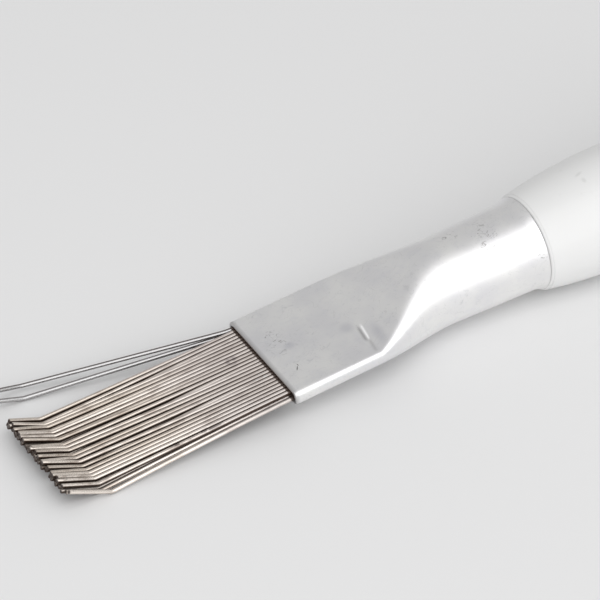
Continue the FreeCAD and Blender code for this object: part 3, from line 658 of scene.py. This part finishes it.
def handle_profile():
    """Distance from the rim and radius, from the tenon's nose to the middle of the butt: lines,
    the lip's parabola, the shoulder's and butt's rounds, and the swell's long arc."""
    inset = WALL + FIT_GAP
    tenon = TUBE_RADIUS - inset
    start_turn = math.asin(SWELL_RUN / SWELL_RADIUS)
    lip = np.linspace(0, 1, 8)
    quarter = np.linspace(0, np.pi / 2, 10)
    swell = np.linspace(start_turn - SHOULDER_ROUND / SWELL_RADIUS, 0, 24)
    pieces = [
        ([-TENON_LENGTH, -TENON_LENGTH, -TENON_LENGTH + TENON_CHAMFER],
         [0.02, tenon - TENON_CHAMFER, tenon]),
        (-LIP_LENGTH + LIP_LENGTH * lip, TUBE_END - inset + LIP_FLARE * lip ** 2),
        ([SEAT_GAP], [RIM_RADIUS - inset]),
        (SEAT_GAP + SHOULDER_ROUND * (1 - np.sin(quarter)[::-1]),
         SHOULDER_RADIUS - SHOULDER_ROUND * (1 - np.cos(quarter)[::-1])),
        (SWELL_LENGTH - SWELL_RADIUS * np.sin(swell),
         GRIP_RADIUS - SWELL_RADIUS * (1 - np.cos(swell))),
        (np.linspace(SWELL_LENGTH + 6, HANDLE_LENGTH - BUTT_ROUND - 6, 8), np.full(8, GRIP_RADIUS)),
        (HANDLE_LENGTH - BUTT_ROUND + BUTT_ROUND * np.sin(quarter),
         GRIP_RADIUS - BUTT_ROUND * (1 - np.cos(quarter))),
        ([HANDLE_LENGTH], [0.02]),
    ]
    along = np.concatenate([np.asarray(piece[0], dtype=float) for piece in pieces])
    radius = np.concatenate([np.asarray(piece[1], dtype=float) for piece in pieces])
    return along, radius


def make_handle(material):
    """The profile turned round the tube's axis."""
    along, radius = handle_profile()
    run = FERRULE_LENGTH - FLAT_LENGTH
    rim = np.array([FLAT_LENGTH + run * math.cos(FLAT_SLOPE), 0.0,
                    TUBE_RISE - run * math.sin(FLAT_SLOPE)])
    axis = np.array([math.cos(FLAT_SLOPE), 0.0, -math.sin(FLAT_SLOPE)])
    up = np.array([math.sin(FLAT_SLOPE), 0.0, math.cos(FLAT_SLOPE)])
    angle = np.linspace(0, 2 * np.pi, 144, endpoint=False)
    rounds = np.cos(angle)[:, None] * np.array([0.0, -1.0, 0.0]) + np.sin(angle)[:, None] * up
    grid = rim + along[:, None, None] * axis + radius[:, None, None] * rounds[None]
    surface("handle_turned", to_row(grid), material, ["handle"], caps=True)


TABLE_HALF = 3.0
SURROUNDINGS = 0.555
SOFTBOX_PLACE = (-0.12, -0.93, 0.90)
SOFTBOX_SIZE = (3.2, 2.1)
SOFTBOX_POWER = 22.5

# The camera stands back from a point of the flat's mouth and looks a little aside and above it.
VIEW_TURN = math.radians(29.51)
VIEW_RISE = math.radians(39.96)
VIEW_ROLL = math.radians(-0.248)
VIEW_ANCHOR = (-53.822, -4.604, 7.0)
VIEW_ASIDE = 8.35
VIEW_ABOVE = 13.0
VIEW_DISTANCE = 0.8579
VIEW_LENS = 236.85


def make_table():
    """A plain pale table top, far larger than the view."""
    half = TABLE_HALF
    mesh = bpy.data.meshes.new("table_top")
    corners = [(-half, -half, 0), (half, -half, 0), (half, half, 0), (-half, half, 0)]
    mesh.from_pydata(corners, [], [(0, 1, 2, 3)])
    finish = Finish("pale_table")
    finish.set(Base_Color=TABLE_PALE, Roughness=0.6)
    mesh.materials.append(finish.material)
    table = bpy.data.objects.new("table_top", mesh)
    bpy.context.scene.collection.objects.link(table)


def aim(item, target):
    """Turn a lamp or camera to look at a point, with its top up."""
    way = Vector(target) - item.location
    item.rotation_euler = way.to_track_quat("-Z", "Y").to_euler()


def add_softbox(name, place, target, width, height, power):
    """A rectangular area lamp at a place in metres, turned to a target."""
    lamp = bpy.data.lights.new(name, "AREA")
    lamp.shape = "RECTANGLE"
    lamp.size = width
    lamp.size_y = height
    lamp.energy = power
    item = bpy.data.objects.new(name, lamp)
    item.location = place
    aim(item, target)
    bpy.context.scene.collection.objects.link(item)


def light_studio():
    """Even white surroundings, and a wide softbox in front of the comb and above it."""
    world = bpy.data.worlds.new("studio")
    world.use_nodes = True
    background = world.node_tree.nodes["Background"]
    background.inputs["Color"].default_value = (1.0, 1.0, 1.0, 1.0)
    background.inputs["Strength"].default_value = SURROUNDINGS
    bpy.context.scene.world = world
    add_softbox("near_softbox", SOFTBOX_PLACE, (0, 0, 0), *SOFTBOX_SIZE, SOFTBOX_POWER)


def add_camera():
    """Looks down on the comb from the near side and the wires' end."""
    level = math.cos(VIEW_RISE)
    back = Vector((-math.sin(VIEW_TURN) * level, -math.cos(VIEW_TURN) * level, math.sin(VIEW_RISE)))
    right = Vector((math.cos(VIEW_TURN), -math.sin(VIEW_TURN), 0))
    up = back.cross(right)
    anchor = Vector(VIEW_ANCHOR) * MM
    camera = bpy.data.cameras.new("camera")
    camera.lens = VIEW_LENS
    camera.sensor_width = 36.0
    camera.clip_start = 0.01
    item = bpy.data.objects.new("camera", camera)
    item.location = anchor + back * VIEW_DISTANCE
    aim(item, anchor + right * VIEW_ASIDE * MM + up * VIEW_ABOVE * MM)
    item.rotation_euler.rotate_axis("Z", VIEW_ROLL)
    bpy.context.scene.collection.objects.link(item)
    bpy.context.scene.camera = item


make_wires(drawn_steel())
make_ferrule(pressed_aluminium())
make_handle(white_plastic())
make_table()
light_studio()
add_camera()
bpy.context.scene.view_settings.view_transform = "Standard"
